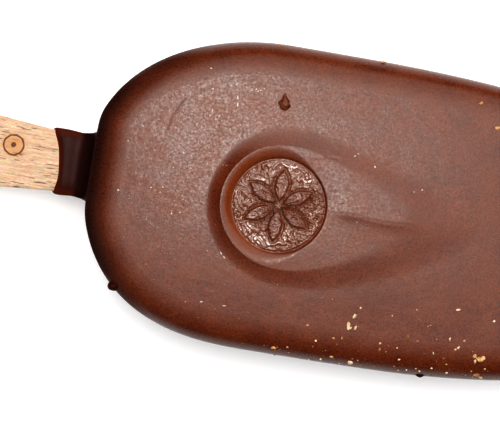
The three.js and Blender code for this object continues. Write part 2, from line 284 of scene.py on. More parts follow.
# Petals as lenses round the centre: their half width goes as 4 t (1 - t) along each, and a
# sloping side leads up to a flat back.
def rosetteHeight(radius, angle):
    sector = 2 * np.pi / rosette["petals"]
    angle = angle % sector - sector / 2
    part = (radius * np.cos(angle) - rosette["start"]) / rosette["length"]
    inside = (part > 0) & (part < 1)
    halfWidth = np.where(inside, 4 * rosette["halfWidth"] * part * (1 - part), 0)
    depthIn = halfWidth - np.abs(radius * np.sin(angle))
    back = rosette["height"] * smoothStep(depthIn, 0, rosette["sideWidth"])
    edge = rosette["edgeDepth"] * np.exp(-(depthIn / rosette["edgeWidth"]) ** 2)
    return np.where(inside, back - edge, 0)


# Ridged noise that runs round the seal, in cells of one size outwards: 1 - |2 noise - 1|.
def ringedNoise(radius, angle, size, cellsAround, seed):
    points = together(radius / size, angle / (2 * np.pi) * cellsAround, 0)
    return 1 - np.abs(2 * softNoise(points, 1.0, seed) - 1)


# The ground of the seal: a tilted plane, crinkled by ridged noise, with petals on it. The
# crinkles are weaker on the petals and in the very middle.
def sealGround(radius, angle):
    along = radius * np.cos(angle)
    flat = together(along, radius * np.sin(angle), 0)
    bent = radius + seal["bend"] * (softNoise(flat, seal["bendSize"], 7) - 0.5)
    swung = angle + seal["swing"] * (softNoise(flat, seal["swingSize"], 8) - 0.5)
    ridged = ringedNoise(bent, swung, seal["crinkleSize"], seal["crinklesAround"], 5)
    finer = ringedNoise(bent, swung, seal["fineCrinkleSize"], seal["fineCrinklesAround"], 6)
    petals = rosetteHeight(radius, angle)
    calm = (1 - 0.5 * smoothStep(petals, 0.05, 0.25)) * smoothStep(radius, 0, 1.5)
    calm = calm * (seal["calmLeast"] + seal["calmRange"] * softNoise(flat, seal["calmSize"], 9))
    crinkles = seal["crinkle"] * (0.6 * ridged + 0.4 * finer - 0.6) * calm
    fade = 1 - smoothStep(radius, seal["radius"] - 0.3, seal["radius"])
    return seal["tilt"] * along / seal["radius"] + petals + crinkles * fade


# The relief above the plain face: ground, wall up to the lip, plateau, slope back down,
# and a groove round the seal.
def relief(x, y):
    radius, angle = aroundSeal(x, y)
    facing = (1 + np.cos(angle)) / 2                     # 1 on the tail's side
    crest = seal["lipAtStick"] + (seal["lipAtTail"] - seal["lipAtStick"]) * facing ** seal["lipFall"]
    rim = seal["tilt"] * np.cos(angle)
    lip = lipRadius(angle)
    climbed = np.clip((radius - seal["radius"]) / (lip - seal["radius"]), 0, 1)
    wall = rim + (crest - rim) * (1 - (1 - climbed) ** seal["wallSteepness"])
    edge = plateauEdge(angle)
    reach = tailReach(angle)
    part = np.clip((radius - lip) / (edge - lip), 0, 1)
    plateau = crest + (seal["tipHeight"] - crest) * reach * part
    start = np.maximum(edge - 5 * reach, lip)            # the slope starts early near the tip
    down = np.clip((radius - start) / (edge + slopeWidth(angle) - start), 0, 1)
    crisp = (1 - down) ** 2                              # steepest at the crest
    outer = plateau * (crisp + (1 - smoothStep(down, 0, 1) - crisp) * reach ** 0.5)
    groove = np.exp(-((radius - seal["radius"]) / seal["grooveWidth"]) ** 2)
    groove = groove * seal["grooveDepth"] * (0.45 + 0.55 * facing)
    height = np.where(radius < lip, wall, outer)
    height = np.where(radius < seal["radius"], sealGround(radius, angle), height)
    return height - groove


# How far places lie from a line of points, which side they are on (+1 is its +Y side),
# and how far along it, from 0 to 1.
def fromLine(x, y, points):
    points = np.asarray(points, dtype=float)
    nearest = np.full(x.shape, np.inf)
    side = np.zeros(x.shape)
    travelled = np.zeros(x.shape)
    for index in range(len(points) - 1):
        startX, startY = points[index]
        spanX, spanY = points[index + 1] - points[index]
        square = spanX ** 2 + spanY ** 2
        part = np.clip(((x - startX) * spanX + (y - startY) * spanY) / square, 0, 1)
        offX = x - startX - part * spanX
        offY = y - startY - part * spanY
        distance = np.hypot(offX, offY)
        closer = distance < nearest
        nearest = np.where(closer, distance, nearest)
        side = np.where(closer, np.sign(spanX * offY - spanY * offX), side)
        travelled = np.where(closer, (index + part) / (len(points) - 1), travelled)
    return nearest, side, travelled


# All creases: a narrow groove along the top of a low swelling.
def creaseHeight(x, y):
    total = np.zeros(np.shape(x))
    for depth, halfWidth, step, fall, points in creases:
        distance, side, travelled = fromLine(x, y, points)
        ends = smoothStep(travelled, 0, 0.2) * (1 - smoothStep(travelled, 0.75, 1))
        groove = depth * np.exp(-(distance / halfWidth) ** 2)
        raised = step * np.exp(-distance / (np.where(side > 0, 2.5, 1) * fall))
        total += ends * (raised - groove)
    return total


# Slow ripples and a fine grain of the coating, calm in the seal.
def unevenness(x, y):
    points = together(x, y, 0)
    slow = coating["ripple"] * (softNoise(points, coating["rippleSize"], 31) - 0.5)
    fine = coating["grain"] * (softNoise(points, coating["grainSize"], 32) - 0.5)
    return (slow + fine) * smoothStep(aroundSeal(x, y)[0], seal["radius"], seal["plateauRadius"] + 3)


# The face is crowned, lower by the square of the outline's level, with the relief on it.
def faceHeight(x, y):
    return coating["thickness"] - coating["crown"] * outlineLevel(x, y) ** 2 + relief(x, y)


# The top over any place. Towards the outline it drops to the wall by a superellipse quarter.
def topHeight(x, y):
    out = np.clip(1 - insetAt(x, y) / coating["shoulder"], 0, 1)
    power = coating["shoulderPower"]
    rise = (1 - out ** power) ** (1 / power)
    wallTop = middle + coating["wallHalf"]
    return wallTop + (faceHeight(x, y) - wallTop) * rise


# The surface over places seen from above, as points and the ways they face.
def onTop(x, y):
    x = np.asarray(x, dtype=float)
    y = np.asarray(y, dtype=float)
    step = 0.1
    riseX = (topHeight(x + step, y) - topHeight(x - step, y)) / (2 * step)
    riseY = (topHeight(x, y + step) - topHeight(x, y - step)) / (2 * step)
    return together(x, y, topHeight(x, y)), unitVectors(together(-riseX, -riseY, 1))


# The side: level goes from 1 at the edge of the face over the straight wall to -1 at the
# back. Out and rise are the two coordinates of a superellipse quarter at each edge.
def onSide(outlineX, outlineY, level):
    normalX, normalY = outlineSlope(outlineX, outlineY)[:2]
    share = coating["wallShare"]
    turn = np.pi / 2 * np.clip((np.abs(level) - share) / (1 - share), 0, 1)
    power = coating["shoulderPower"]
    out = np.cos(turn) ** (2 / power)
    rise = np.sin(turn) ** (2 / power)
    x = outlineX - coating["shoulder"] * (1 - out) * normalX
    y = outlineY - coating["shoulder"] * (1 - out) * normalY
    wall = coating["wallHalf"]
    half = np.where(level > 0, faceHeight(x, y) - middle, middle)
    height = wall * np.clip(level / share, -1, 1) + np.sign(level) * (half - wall) * rise
    points = together(x, y, middle + height)
    outward = out ** (power - 1) / coating["shoulder"]
    upward = np.sign(level) * rise ** (power - 1) / (middle - wall)
    return points, unitVectors(together(outward * normalX, outward * normalY, upward))


def addObject(name, data):
    added = bpy.data.objects.new(name, data)
    bpy.context.scene.collection.objects.link(added)
    return added


def newPiece(name, points, faces):
    mesh = bpy.data.meshes.new(name)
    mesh.from_pydata((np.asarray(points) * millimetre).tolist(), [], faces)
    mesh.polygons.foreach_set("use_smooth", np.ones(len(faces), dtype=bool))
    mesh.update()
    return addObject(name, mesh)


def setAttribute(piece, name, values):
    attribute = piece.data.attributes.new(name, "FLOAT", "POINT")
    attribute.data.foreach_set("value", np.ravel(values).astype(np.float32))


# Rings of points, joined into a closed skin with a pole at each end.
def closedSkin(name, rings, firstPole, lastPole):
    rings = np.asarray(rings, dtype=float)
    ringCount, around = rings.shape[:2]
    points = np.concatenate([[firstPole], rings.reshape(-1, 3), [lastPole]])
    here = np.arange(around)
    following = (here + 1) % around
    first = 1 + np.arange(ringCount - 1)[:, None] * around
    lower = first + around
    quads = together(first + here, lower + here, lower + following, first + following)
    caps = together(0, 1 + here, 1 + following)
    last = 1 + (ringCount - 1) * around
    endCaps = together(len(points) - 1, last + following, last + here)
    faces = quads.reshape(-1, 4).tolist() + caps.tolist() + endCaps.tolist()
    return newPiece(name, points, faces)


def dress(piece, material, replacedNode):
    piece.data.materials.append(material)
    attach(piece, "root")
    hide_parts(replacedNode)


# Three values at each point of the coating. Gloss is the seal's ground, less on the petals.
# The second is painted light: a painted warm glow on the wall on the stick's side, which faces
# the lamps, and on a stretch of its foot, as if light shone through thin chocolate. The third
# is painted shade: dark at the stick's end and a little of the -Y edge, fading down the side.
def coatingAttributes(rings, faceRings, normalX, normalY):
    x, y, height = np.moveaxis(rings, -1, 0)
    radius, angle = aroundSeal(x, y)
    beyond = radius - seal["radius"]
    onFace = np.arange(len(rings))[:, None] < faceRings
    gloss = onFace * (1 - smoothStep(beyond, -0.2, 0.1))
    gloss = gloss * (1 - 0.6 * smoothStep(rosetteHeight(radius, angle), 0.1, 0.25))

    # Painted warm glow on the wall on the stick's side, which faces the lamps, and on its foot
    lip = lipRadius(angle)
    atStick = (1 - np.cos(angle)) / 2
    wall = smoothStep(beyond, -0.2, 0.3) * (1 - smoothStep(radius, lip - 0.7, lip))
    foot = np.exp(-((beyond - 0.15) / 0.2) ** 2) * smoothStep(np.cos(angle - 3.75), 0.4, 0.95)
    paintedWarmLight = np.clip(onFace * (0.6 * wall * atStick ** 1.5 + 0.7 * foot), 0, 1)

    inset = insetAt(x, y)
    # Painted shade: darkest at the stick's end, less beside the stick and along the -Y edge
    endOn = smoothStep(-normalX, 0.35, 0.9)
    beside = smoothStep(-normalX, 0.1, 0.6) * (1 - smoothStep(-normalX, 0.8, 1))
    beside = beside * np.exp(-(inset / np.where(normalY > 0, 2.8, 1.6)) ** 2)
    lowEdge = smoothStep(-normalY, 0.2, 0.9) * (1 - smoothStep(inset, 0.3, 2.0))
    paintedEdgeShade = np.maximum(endOn * (1 - smoothStep(inset, 0.9, 4.2)), 0.75 * beside)
    paintedEdgeShade = np.maximum(paintedEdgeShade, 0.38 * lowEdge) * smoothStep(height, 0, 22)
    return {"gloss": gloss, "paintedWarmLight": paintedWarmLight, "paintedEdgeShade": paintedEdgeShade}


# The whole coating: rings round the seal out to the shoulder, a superellipse side,
# and the flat back. The radius of a ring depends on the angle, so rings follow the relief.
def makeCoating(material):
    outlineX, outlineY = evenOutline(coating["around"])
    normalX, normalY = outlineSlope(outlineX, outlineY)[:2]
    shoulderX = outlineX - coating["shoulder"] * normalX
    shoulderY = outlineY - coating["shoulder"] * normalY
    reach, angle = aroundSeal(shoulderX, shoulderY)
    edge = plateauEdge(angle)
    lip = lipRadius(angle)
    slopeEnd = np.minimum(edge + slopeWidth(angle), reach - 1)
    plateauEnd = np.maximum(edge, lip + 0.2)
    stops = np.broadcast_arrays(0, seal["radius"], lip, plateauEnd, slopeEnd, reach)
    radii = []
    for start, end, count in zip(stops[:-1], stops[1:], coating["ringCounts"]):
        part = np.arange(1, count + 1)[:, None] / count
        radii.append(start + (end - start) * part)
    radii = np.concatenate(radii)
    x = seal["x"] + radii * np.cos(angle)
    y = seal["y"] + radii * np.sin(angle)
    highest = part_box("coated_bar")[1][2] / millimetre - 0.01
    height = np.minimum(faceHeight(x, y) + creaseHeight(x, y) + unevenness(x, y), highest)
    top = together(x, y, height)

    steps = coating["sideSteps"]
    level = 1 - 2 * np.arange(1, steps)[:, None] / steps
    side = onSide(outlineX, outlineY, level)[0]
    swell = coating["swell"] * softNoise(side, coating["swellSize"], 21) * np.cos(level * np.pi / 2)
    side[..., 0] -= swell * normalX
    side[..., 1] -= swell * normalY

    shrink = np.array(coating["backShares"])[:, None]
    back = together(shoulderX * shrink, shoulderY * shrink, 0)
    rings = np.concatenate([top, side, back])
    sealPole = (seal["x"], seal["y"], faceHeight(np.array(seal["x"]), np.array(seal["y"])))
    piece = closedSkin("chocolateCoating", rings, sealPole, (0, 0, 0))
    for name, values in coatingAttributes(rings, len(top), normalX, normalY).items():
        setAttribute(piece, name, np.concatenate([[values[0, 0]], values.ravel(), [0]]))
    dress(piece, material, "coated_bar")


# The stick. Its half width grows along an S-curve from the shank to the handle.
stick = {
    "y": 0.2,                 # a little to one side of the bar's own axis
    "thickness": 2.0,
    "shankHalfWidth": 4.52,
    "handleHalfWidth": 8.47,
    "innerEnd": -5.8,
    "handleEnd": -99.8,
    "flareStart": -42.0,
    "flareLength": 55.0,
    "endRadius": 8.3,
    "edgeRounding": 0.45,
    "flatness": 1.6,          # more leaves less of a section to its rounded edges
    "around": 48,
    "ringX": -60.15,          # a plain ring and dot, burnt into the top
    "ringY": 1.61,
    "ringRadius": 1.62,
    "dotRadius": 0.34,
}


# A section carried along the stick: a rectangle of the local width with rounded edges.
# Both ends are quarter ellipses in plan.
def makeStick(material):
    roundStart = stick["handleEnd"] + stick["endRadius"]
    innerStart = stick["innerEnd"] - stick["shankHalfWidth"]
    quarter = np.linspace(0, np.pi / 2, 25)
    x = np.concatenate([
        roundStart - stick["endRadius"] * np.cos(quarter)[1:-1],
        np.linspace(roundStart, innerStart, 120),
        innerStart + stick["shankHalfWidth"] * np.sin(quarter)[1:-1],
    ])
    flare = smoothStep((stick["flareStart"] - x) / stick["flareLength"], 0, 1)
    halfWidth = stick["shankHalfWidth"] + (stick["handleHalfWidth"] - stick["shankHalfWidth"]) * flare
    atEnd = np.clip((roundStart - x) / stick["endRadius"], 0, 1)
    atInner = np.clip((x - innerStart) / stick["shankHalfWidth"], 0, 1)
    halfWidth = halfWidth * np.sqrt(1 - atEnd ** 2) * np.sqrt(1 - atInner ** 2)
    rounding = np.minimum(stick["edgeRounding"], halfWidth)[:, None]
    angle = (np.arange(stick["around"]) + 0.5) / stick["around"] * 2 * np.pi

    def section(half, wave):
        return (half - rounding) * np.clip(stick["flatness"] * wave, -1, 1) + rounding * squarer(wave, 0.5)

    y = -section(halfWidth[:, None], np.cos(angle))
    z = middle + section(stick["thickness"] / 2, np.sin(angle))
    rings = together(x[:, None], stick["y"] + y, z)
    handleTip = (stick["handleEnd"], stick["y"], middle)
    innerTip = (stick["innerEnd"], stick["y"], middle)
    dress(closedSkin("woodenStick", rings, handleTip, innerTip), material, "stick")


# The collar of chocolate on the stick, thin at its mouth and widening into the bar.
collar = {
    "mouthX": -52.45,
    "mouthSlant": 0.15,       # further out on the +Y side
    "mouthHollow": 1.1,       # its corners reach further out than its middle
    "innerX": -44.0,
    "mouthHalfWidth": 5.0,
    "mouthHalfThickness": 1.02,
    "thickness": 0.42,        # of the chocolate past its rounded lip
    "lipLength": 0.25,
    "waist": 0.18,            # drawn in between the lip and the bar
    "waistX": -49.6,
    "waistLength": 1.3,
    "filletWidth": 1.2,       # on the +Y side
    "filletWidthMinus": 0.9,
    "filletThickness": 1.8,
    "filletLength": 0.45,
    "sectionPower": 5.0,
    "paintedShadeFrom": -49.7,        # painted shade from here to there, in the corner with the bar
    "paintedShadeFull": -48.6,
    "around": 120,
    "stations": 90,
}


# A superellipse section carried along the stick. Each half size is a start value, plus a
# rounded lip that fills in quickly, less a waist, plus a fillet that grows towards the bar.
# The stations are closer together at the mouth.
def makeCollar(material):
    angle = np.arange(collar["around"]) / collar["around"] * 2 * np.pi
    along = (np.linspace(0, 1, collar["stations"]) ** 1.3)[:, None]
    unitY = -squarer(np.cos(angle), 2 / collar["sectionPower"])
    unitZ = squarer(np.sin(angle), 2 / collar["sectionPower"])
    baseY = collar["mouthHalfWidth"] * unitY
    hollow = collar["mouthHollow"] * np.abs(unitY) ** 3
    mouth = collar["mouthX"] - collar["mouthSlant"] * baseY - hollow
    x = mouth + (collar["innerX"] - mouth) * along
    growth = collar["thickness"] * (1 - np.exp(-(x - mouth) / collar["lipLength"]))
    growth = growth - collar["waist"] * np.exp(-((x - collar["waistX"]) / collar["waistLength"]) ** 2)
    outside = np.maximum(0, coating["flatEnd"] - coating["length"] / 2 - x)
    fillet = np.exp(-outside / collar["filletLength"])
    filletWidth = np.where(unitY > 0, collar["filletWidth"], collar["filletWidthMinus"])
    y = stick["y"] + (collar["mouthHalfWidth"] + growth + filletWidth * fillet) * unitY
    halfThickness = collar["mouthHalfThickness"] + growth + collar["filletThickness"] * fillet
    z = middle + halfThickness * unitZ
    rings = together(x, y, z)
    mouthPole = (collar["mouthX"] + 0.3, stick["y"], middle)
    innerPole = (collar["innerX"], stick["y"], middle)
    piece = closedSkin("chocolateCollar", rings, mouthPole, innerPole)
    # Painted warm light on the collar's rounded edges and its thin mouth
    edges = smoothStep(np.abs(unitY), 0.72, 0.95) + (1 - smoothStep(x - mouth, 0.1, 0.8))
    # Painted shade in the corner with the bar, mostly on the upper side
    paintedCornerShade = smoothStep(x, collar["paintedShadeFrom"], collar["paintedShadeFull"]) * smoothStep(unitZ, -0.6, 0.6)
    paintedWarmLight = np.clip(edges, 0, 1) * (1 - paintedCornerShade)
    for name, values in (("paintedWarmLight", paintedWarmLight), ("paintedCornerShade", paintedCornerShade)):
        setAttribute(piece, name, np.concatenate([[0], values.ravel(), [0]]))
    dress(piece, material, "coated_bar")


# Points and triangles of a unit sphere made from an icosahedron
def sphereParts(detail):
    sphere = bmesh.new()
    bmesh.ops.create_icosphere(sphere, subdivisions=detail, radius=1)
    sphere.verts.ensure_lookup_table()
    points = np.array([vertex.co[:] for vertex in sphere.verts])
    faces = np.array([[vertex.index for vertex in face.verts] for face in sphere.faces])
    sphere.free()
    return points, faces


# Many chips in one mesh. Each starts as a sphere, and points beyond each of some random
# planes are pushed back onto it, which cuts flat sides. Then it is stretched to its size,
# turned, and stood on the surface, sunk in by a share of its height.
def makeChips(name, places, sizes, turns, tones, detail, cuts, sunk, seed):
    points, normals = places
    rng = np.random.default_rng(seed)
    unit, faces = sphereParts(detail)
    count = len(points)
    shape = np.broadcast_to(unit, (count, *unit.shape)).copy()
    for _ in range(cuts):
        plane = unitVectors(rng.normal(size=(count, 1, 3)))
        beyond = (shape * plane).sum(axis=-1, keepdims=True) - rng.uniform(0.45, 0.8, (count, 1, 1))
        shape -= np.maximum(0, beyond) * plane
    lean = rng.normal(size=(count, 1, 3))
    tone = np.asarray(tones)[:, None] + 0.16 * (shape * lean).sum(axis=-1)
    shape *= np.asarray(sizes)[:, None, :] / 2
    ahead = together(np.cos(turns), np.sin(turns), 0)
    ahead = unitVectors(ahead - (ahead * normals).sum(axis=-1, keepdims=True) * normals)
    aside = np.cross(normals, ahead)
    lift = (0.5 - sunk) * np.asarray(sizes)[:, 2:3] * normals
    placed = (points + lift)[:, None, :] + shape[..., 0:1] * ahead[:, None, :]
    placed += shape[..., 1:2] * aside[:, None, :] + shape[..., 2:3] * normals[:, None, :]
    lowest, highest = np.array(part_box("coated_bar")) / millimetre
    placed = np.clip(placed, lowest + 0.01, highest - 0.01)
    offsets = np.arange(count)[:, None, None] * len(unit)
    piece = newPiece(name, placed.reshape(-1, 3), (faces + offsets).reshape(-1, 3).tolist())
    setAttribute(piece, "tone", np.clip(tone, 0, 1))
    return piece


# Bits of nut: x, y, length, width, turn in degrees, and tone from brown skin at 0
# over orange to cream at 1.
nuts = {
    "listed": [
        (18.66, -19.47, 1.15, 1.1, 20, 0.5), (19.22, -19.37, 1.15, 0.9, 80, 0.58),
        (18.11, -19.88, 0.85, 0.6, 95, 0.95), (17.98, -19.10, 0.7, 0.65, 0, 0.62),
        (18.89, -22.05, 1.50, 0.80, 5, 0.45), (19.68, -22.34, 0.80, 0.50, 0, 0.6),
        (-2.36, -17.74, 1.3, 0.85, 105, 0.95), (-1.95, -18.0, 0.55, 0.45, 80, 0.75),
        (-1.2, -17.85, 0.85, 0.42, 75, 0.9), (-1.74, -16.1, 0.85, 0.65, 60, 0.9),
        (-1.4, -15.85, 0.4, 0.3, 20, 0.45), (-0.97, -14.66, 0.5, 0.4, 50, 0.95),
        (-8.64, -18.66, 0.5, 0.4, 0, 0.8), (-6.96, -20.85, 0.44, 0.38, 30, 0.95),
        (-3.04, -19.7, 0.6, 0.45, 80, 0.45), (-4.35, -20.0, 0.5, 0.35, 0, 0.6),
        (3.0, -19.57, 0.5, 0.4, 70, 0.85), (3.05, -20.56, 0.55, 0.35, 90, 0.45),
        (10.24, -15.54, 0.45, 0.35, 0, 0.5), (7.72, -13.48, 0.4, 0.3, 0, 0.6),
        (14.11, -12.38, 0.75, 0.5, 20, 0.9), (19.97, -13.19, 0.55, 0.45, 30, 0.9),
        (13.62, -17.12, 0.7, 0.5, 110, 1.0), (15.88, -16.99, 0.5, 0.45, 0, 0.9),
        (15.2, -18.2, 0.6, 0.5, 50, 0.95), (14.8, -18.55, 0.5, 0.4, 10, 0.85),
        (7.03, -17.76, 0.6, 0.4, 0, 0.35), (8.73, -18.22, 0.5, 0.35, 0, 0.35),
        (6.38, -21.63, 0.44, 0.34, 20, 0.95), (7.91, -23.11, 0.44, 0.34, 0, 1),
        (9.97, -22.99, 0.44, 0.34, 0, 0.75), (11.45, -19.72, 0.5, 0.4, 90, 0.8),
        (11.68, -22.17, 0.40, 0.34, 0, 0.9), (14.16, -22.52, 0.48, 0.38, 40, 1),
        (13.83, -21.18, 0.40, 0.30, 0, 0.5), (19.84, -20.89, 0.5, 0.4, 0, 0.5),
        (-4.07, -22.98, 0.70, 0.50, 0, 0.75), (-5.69, -23.70, 0.48, 0.42, 0, 0.85),
        (-1.10, -23.43, 1.10, 0.75, 5, 0.8), (-7.48, -24.12, 0.40, 0.34, 0, 0.9),
        (-13.27, -23.17, 0.90, 0.70, 0, 0.5), (-20.02, 24.1, 0.5, 0.4, 0, 0.6),
        (-3.61, 24.0, 0.9, 0.7, 0, 0.55), (12.27, 20.06, 0.8, 0.5, 40, 0.5),
        (15.5, 16.67, 1.0, 0.7, 20, 0.6), (16.1, 17.3, 0.6, 0.5, 0, 0.8),
    ],
    "height": 0.62,           # share of the width
    "farCount": 16,           # past what is listed, thinning out towards +Y
    "farX": (22, 43),
    "farY": (-20, 30),        # from here, over this much
    "specks": 240,
    "speckLeast": 0.14,
    "speckMost": 0.42,
}


# The listed bits, and random ones where the photo doesn't reach.
def makeNutBits(material):
    rng = np.random.default_rng(11)
    count = nuts["farCount"]
    farX = rng.uniform(*nuts["farX"], count)
    farY = nuts["farY"][0] + nuts["farY"][1] * rng.random(count) ** 1.8
    length = rng.uniform(0.5, 1.7, count)
    turn = rng.uniform(0, 180, count)
    far = together(farX, farY, length, length * 0.7, turn, rng.uniform(0.4, 1, count))
    bits = np.concatenate([nuts["listed"], far[outlineLevel(farX, farY) < 0.95]])
    sizes = together(bits[:, 2], bits[:, 3], bits[:, 3] * nuts["height"] + 0.1)
    places = onTop(bits[:, 0], bits[:, 1])
    piece = makeChips("nutBits", places, sizes, np.radians(bits[:, 4]), bits[:, 5], 4, 9, 0.42, 12)
    dress(piece, material, "coated_bar")


# Fine specks along the -Y side: most on the top, fewer the further in they lie, and some
# on the side itself. There are more of them towards the far end.
def makeNutSpecks(material):
    rng = np.random.default_rng(23)
    outlineX, outlineY = evenOutline(2000)
    lower = np.flatnonzero((outlineY < -8) & (outlineX > -34))
    weight = 0.25 + smoothStep(outlineX[lower], -34, 20)
    count = nuts["specks"]
    chosen = rng.choice(lower, count, p=weight / weight.sum())
    edgeX = outlineX[chosen]
    edgeY = outlineY[chosen]
    normalX, normalY = outlineSlope(edgeX, edgeY)[:2]
    inset = 0.5 + rng.exponential(2.6, count)
    topPoints, topNormals = onTop(edgeX - inset * normalX, edgeY - inset * normalY)
    sidePoints, sideNormals = onSide(edgeX, edgeY, rng.uniform(-0.7, 0.7, count))
    onSideToo = (rng.random(count) < 0.3)[:, None]
    points = np.where(onSideToo, sidePoints, topPoints)
    normals = np.where(onSideToo, sideNormals, topNormals)
    clear = aroundSeal(points[:, 0], points[:, 1])[0] > seal["plateauRadius"]
    places = points[clear], normals[clear]
    count = len(places[0])
    spread = rng.random(count) ** 2.2
    length = nuts["speckLeast"] + (nuts["speckMost"] - nuts["speckLeast"]) * spread
    sizes = together(length, length * 0.75, length * 0.55)
    tones = rng.uniform(0.1, 0.85, count)
    turns = rng.uniform(0, np.pi, count)
    piece = makeChips("nutSpecks", places, sizes, turns, tones, 2, 5, 0.35, 24)
    dress(piece, material, "coated_bar")


# White flakes of frost, some of them painted glints off tiny bumps: x, y, length, width and turn in
# degrees.
frostAndGlints = {
    "listed": [
        (-30.28, 18.4, 0.35, 0.28, 0), (-25.85, 16.61, 0.85, 0.22, 60), (-26.6, 16.2, 0.3, 0.2, 0),
        (-23.38, 16.11, 0.4, 0.25, 20), (-22.78, 16.35, 0.45, 0.3, 70), (-22.4, 16.1, 0.3, 0.2, 0),
        (-22.0, 16.35, 0.4, 0.2, 30), (-21.49, 16.64, 0.3, 0.2, 0), (-25.37, 14.6, 0.75, 0.24, 98),
        (-25.21, 13.5, 0.8, 0.26, 95), (-28.97, 11.84, 0.95, 0.26, 92), (-29.2, 11.1, 0.35, 0.25, 0),
        (-27.74, 11.24, 0.5, 0.2, 55), (-28.2, 10.7, 0.45, 0.2, 50), (-29.44, 15.29, 0.35, 0.3, 0),
        (-39.29, 7.76, 0.4, 0.3, 0), (-41.15, 5.02, 0.32, 0.26, 0), (-32.29, 4.64, 0.45, 0.25, 110),
        (-30.8, 2.47, 0.34, 0.26, 0), (-33.49, 2.14, 0.28, 0.22, 0), (-41.43, -2.8, 0.5, 0.3, 0),
        (-36.4, -1.55, 0.35, 0.28, 0), (-34.64, -1.16, 0.35, 0.28, 0), (-34.9, -2.0, 0.3, 0.2, 20),
        (-35.72, -1.82, 0.28, 0.2, 0), (-31.16, -2.55, 0.3, 0.2, 140), (-30.66, -2.71, 0.3, 0.2, 0),
        (-32.57, -5.04, 0.42, 0.28, 100), (-31.33, -4.63, 0.25, 0.2, 0), (-23.9, -9.85, 0.6, 0.2, 130),
        (-23.3, -10.4, 0.55, 0.2, 135), (-5.8, 8.63, 0.4, 0.24, 30), (-5.39, 9.02, 0.3, 0.22, 0),
        (-2.43, 7.46, 0.42, 0.36, 0), (-3.77, -1.48, 0.4, 0.28, 100), (4.23, 4.63, 0.3, 0.22, 0),
        (5.41, 5.14, 0.34, 0.28, 0), (-25.71, -17.87, 0.6, 0.2, 25), (-22.06, -17.89, 0.6, 0.2, 10),
    ],
    "dust": 110,              # tiny crystals over the stick's half of the face
    "dustX": (-29, 8),        # mean and spread
    "dustY": (6, 9),
}


# The listed flakes and random dust, on the face but not in the seal.
def makeFrostAndGlints(material):
    rng = np.random.default_rng(41)
    count = frostAndGlints["dust"]
    dustX = rng.normal(*frostAndGlints["dustX"], count)
    dustY = rng.normal(*frostAndGlints["dustY"], count)
    clear = aroundSeal(dustX, dustY)[0] > seal["plateauRadius"] + 1
    keep = clear & (outlineLevel(dustX, dustY) < 0.8)
    length = rng.uniform(0.08, 0.2, count)
    dust = together(dustX, dustY, length, length * 0.8, rng.uniform(0, 180, count))[keep]
    flakes = np.concatenate([frostAndGlints["listed"], dust])
    sizes = together(flakes[:, 2], flakes[:, 3], 0.6 * flakes[:, 3])
    places = onTop(flakes[:, 0], flakes[:, 1])
    tones = np.ones(len(flakes))
    piece = makeChips("frostAndGlintFlakes", places, sizes, np.radians(flakes[:, 4]), tones, 2, 5, 0.3, 42)
    dress(piece, material, "coated_bar")


# The crumb on the top: a drop with its point towards +Y, and a second small point.
crumb = {
    "x": -17.95,
    "y": 14.94,
    "length": 2.85,
    "halfWidth": 0.776,
    "height": 0.85,
    "startShare": 0.4,        # how much of it lies before its place
    "turn": math.radians(99),
    "spurAt": 0.43,           # how far along the second point is
    "spurWidth": 0.09,
    "spur": 0.5,
}


# Sections along the drop. Their half width follows sin(pi t^0.62), drawn to a point.
def makeCrumb(material):
    along = np.linspace(0.015, 0.985, 36)[:, None]
    angle = np.arange(40) / 40 * 2 * np.pi
    fat = np.sin(np.pi * along ** 0.62)
    spur = crumb["spur"] * np.exp(-((along - crumb["spurAt"]) / crumb["spurWidth"]) ** 2)
    spur = spur * np.clip(np.cos(angle - 0.15), 0, None) ** 7
    aside = (crumb["halfWidth"] * fat + spur) * np.cos(angle)
    up = crumb["height"] / 2 * fat * np.sin(angle)
    lumps = together(crumb["length"] * (along - crumb["startShare"]), aside, up)
    bumps = 1 + 0.4 * (softNoise(lumps, 0.4, 51) - 0.5)
    cos, sin = math.cos(crumb["turn"]), math.sin(crumb["turn"])
    base = topHeight(np.array(crumb["x"]), np.array(crumb["y"])) + 0.28 * crumb["height"]

    def place(share, aside, up):
        ahead = crumb["length"] * (share - crumb["startShare"])
        x = crumb["x"] + ahead * cos - aside * sin
        y = crumb["y"] + ahead * sin + aside * cos
        return together(x, y, base + up)

    rings = place(along, aside * bumps, up * bumps)
    piece = closedSkin("chocolateCrumb", rings[:, ::-1], place(0, 0, 0), place(1, 0, 0))
    dress(piece, material, "coated_bar")


# Beads of chocolate on the rim: x, y, z, radii and a seed for their bumps.
beads = [
    (-39.84, -17.85, 23.0, (0.85, 0.8, 0.8), 61),
    (10.27, -23.45, 22.3, (0.75, 0.55, 0.5), 62),
]


# Spheres made bumpy by noise and stretched to their radii
def makeBeads(material):
    unit, faces = sphereParts(4)
    allPoints = []
    allFaces = []
    for index, (x, y, z, radii, seed) in enumerate(beads):
        bumps = 0.85 + 0.3 * softNoise(unit, 0.8, seed)
        allPoints.append(unit * bumps[:, None] * np.array(radii) + (x, y, z))
        allFaces.append(faces + index * len(unit))
    piece = newPiece("chocolateBeads", np.concatenate(allPoints), np.concatenate(allFaces).tolist())
    dress(piece, material, "coated_bar")


# Links inputs to other nodes' outputs, or sets them to plain values.
def setInputs(tree, node, inputs):
    for key, value in inputs.items():
        if isinstance(value, bpy.types.NodeSocket):
            tree.links.new(value, node.inputs[key])
        else:
            node.inputs[key].default_value = value


def addNode(tree, kind, inputs, **settings):
    node = tree.nodes.new(kind)
    for key, value in settings.items():
        setattr(node, key, value)
    setInputs(tree, node, inputs)
    return node


def calculate(tree, operation, first, second=0.0):
    return addNode(tree, "ShaderNodeMath", {0: first, 1: second}, operation=operation).outputs[0]


